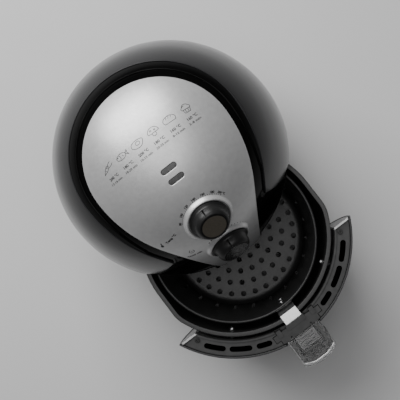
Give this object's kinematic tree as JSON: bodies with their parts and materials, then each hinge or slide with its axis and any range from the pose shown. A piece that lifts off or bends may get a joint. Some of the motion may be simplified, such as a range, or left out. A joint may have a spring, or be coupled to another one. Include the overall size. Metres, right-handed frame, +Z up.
{
  "type": "hot-air deep fryer",
  "caption": "Egg-shaped hot-air deep fryer with a silver control panel, two dials, and a drawer pulled out to show its pan, lift-out basket and guarded handle.",
  "frame": {"origin": "centre of the bounding box's footprint on the table, with the drawer pulled out", "axes": "+Z up, -Y towards the front, where the drawer pulls out, +X to the right of someone facing along +Y"},
  "size_m": [0.282, 0.4366, 0.3206],
  "materials": {
    "gloss_black": "high gloss",
    "gloss_black_lid": "high gloss",
    "silver_panel": "brushed silver film",
    "black_plastic": "fine texture",
    "rubber": "matt",
    "zinc_screw": "bright zinc",
    "liner_steel": "satin coated",
    "slide_plastic": "smooth",
    "aluminised_steel": "mill",
    "insulation": "fibre board",
    "element_sheath": "oxidised",
    "wire_steel": "polished",
    "zinc_plate": "zinc plated",
    "lamination": "varnished",
    "copper_winding": "enamelled wire",
    "bearing_bronze": "sintered",
    "cream_plastic": "moulded",
    "copper_tube": "drawn",
    "lamp_lens": "clear smoked",
    "circuit_board": "smooth",
    "switch_plastic": "moulded",
    "plunger_plastic": "moulded",
    "shaft_steel": "ground",
    "dial_black": "gloss",
    "dial_cap": "satin",
    "pan_coating": "non-stick coating",
    "frame_plastic": "fine texture",
    "satin_metal": "satin",
    "stainless": "brushed",
    "handle_plastic": "fine texture",
    "silver_cover": "satin silver",
    "spring_steel": "drawn",
    "button_plastic": "smooth",
    "clear_guard": "clear, slightly frosted"
  },
  "bodies": {
    "body": {"body_shell": "gloss_black", "lid_bezel": "gloss_black_lid", "control_panel": "silver_panel", "base_plate": "black_plastic", "rubber_feet": "rubber", "base_screws": "zinc_screw", "bay_liner": "liner_steel", "bay_floor": "liner_steel", "slide_rails": "slide_plastic", "heat_chamber": "aluminised_steel", "chamber_insulation": "insulation", "heating_element": "element_sheath", "element_clips": "wire_steel", "element_guard": "wire_steel", "motor_plate": "zinc_plate", "motor_stator": "lamination", "motor_winding": "copper_winding", "motor_bridge": "zinc_plate", "shaft_bearings": "bearing_bronze", "motor_screws": "zinc_screw", "exhaust_duct": "aluminised_steel", "rear_grille": "black_plastic", "cord_gland": "rubber", "terminal_block": "cream_plastic", "thermal_cutout": "cream_plastic", "thermostat": "cream_plastic", "thermostat_bulb": "copper_tube", "timer": "cream_plastic", "timer_bell": "zinc_plate", "power_lamp": "lamp_lens", "heating_lamp": "lamp_lens", "lamp_board": "circuit_board", "drawer_switch": "switch_plastic"},
    "rotor": {"fan_shaft": "shaft_steel", "motor_rotor": "lamination", "hot_air_fan": "aluminised_steel", "cooling_fan": "black_plastic", "fan_nut": "zinc_screw"},
    "switch_plunger": {"switch_plunger": "plunger_plastic"},
    "temperature_dial": {"temperature_dial": "dial_black", "temperature_dial_cap": "dial_cap", "thermostat_spindle": "shaft_steel"},
    "timer_dial": {"timer_dial": "dial_black", "timer_dial_cap": "dial_cap", "timer_spindle": "shaft_steel"},
    "drawer": {"pan": "pan_coating", "pan_screws": "zinc_screw", "drawer_front": "gloss_black", "drawer_frame": "frame_plastic", "drawer_end_walls": "satin_metal", "frame_screws": "zinc_screw"},
    "basket": {"basket": "pan_coating", "basket_strap": "stainless", "strap_rivets": "stainless", "handle_core": "handle_plastic", "handle_cover": "silver_cover", "handle_screws": "zinc_screw", "button_spring": "spring_steel"},
    "release_button": {"release_button": "button_plastic"},
    "button_guard": {"button_guard": "clear_guard"}
  },
  "joints": [
    {"name": "drawer_slide", "type": "slide", "parent": "body", "child": "drawer", "axis": [0, -1, 0], "range_m": [-0.12, 0.04]},
    {"name": "basket_lift", "type": "slide", "parent": "drawer", "child": "basket", "axis": [0, 0, 1], "range_m": [0, 0.0025]},
    {"name": "release_button", "type": "slide", "parent": "basket", "child": "release_button", "axis": [0, 0, -1], "range_m": [0, 0.0035], "stiffness_N_per_m": 500, "springref_m": -0.002, "deforming": ["button_spring"]},
    {"name": "guard_slide", "type": "slide", "parent": "basket", "child": "button_guard", "axis": [0, -1, 0], "range_m": [0, 0.02]},
    {"name": "temperature_turn", "type": "hinge", "parent": "body", "child": "temperature_dial", "pos_m": [0, -0.01165, 0.28494], "axis": [0, -0.682, 0.7314], "range_deg": [-62, 62]},
    {"name": "timer_turn", "type": "hinge", "parent": "body", "child": "timer_dial", "pos_m": [0, -0.04278, 0.24049], "axis": [0, -0.9205, 0.3907], "range_deg": [-270, 0]},
    {"name": "fan_spin", "type": "hinge", "parent": "body", "child": "rotor", "pos_m": [0, 0.07735, 0.232], "axis": [0, 0, 1], "continuous": true},
    {"name": "drawer_switch", "type": "slide", "parent": "body", "child": "switch_plunger", "axis": [0, 1, 0], "range_m": [0, 0.0012], "stiffness_N_per_m": 300, "springref_m": -0.001}
  ]
}
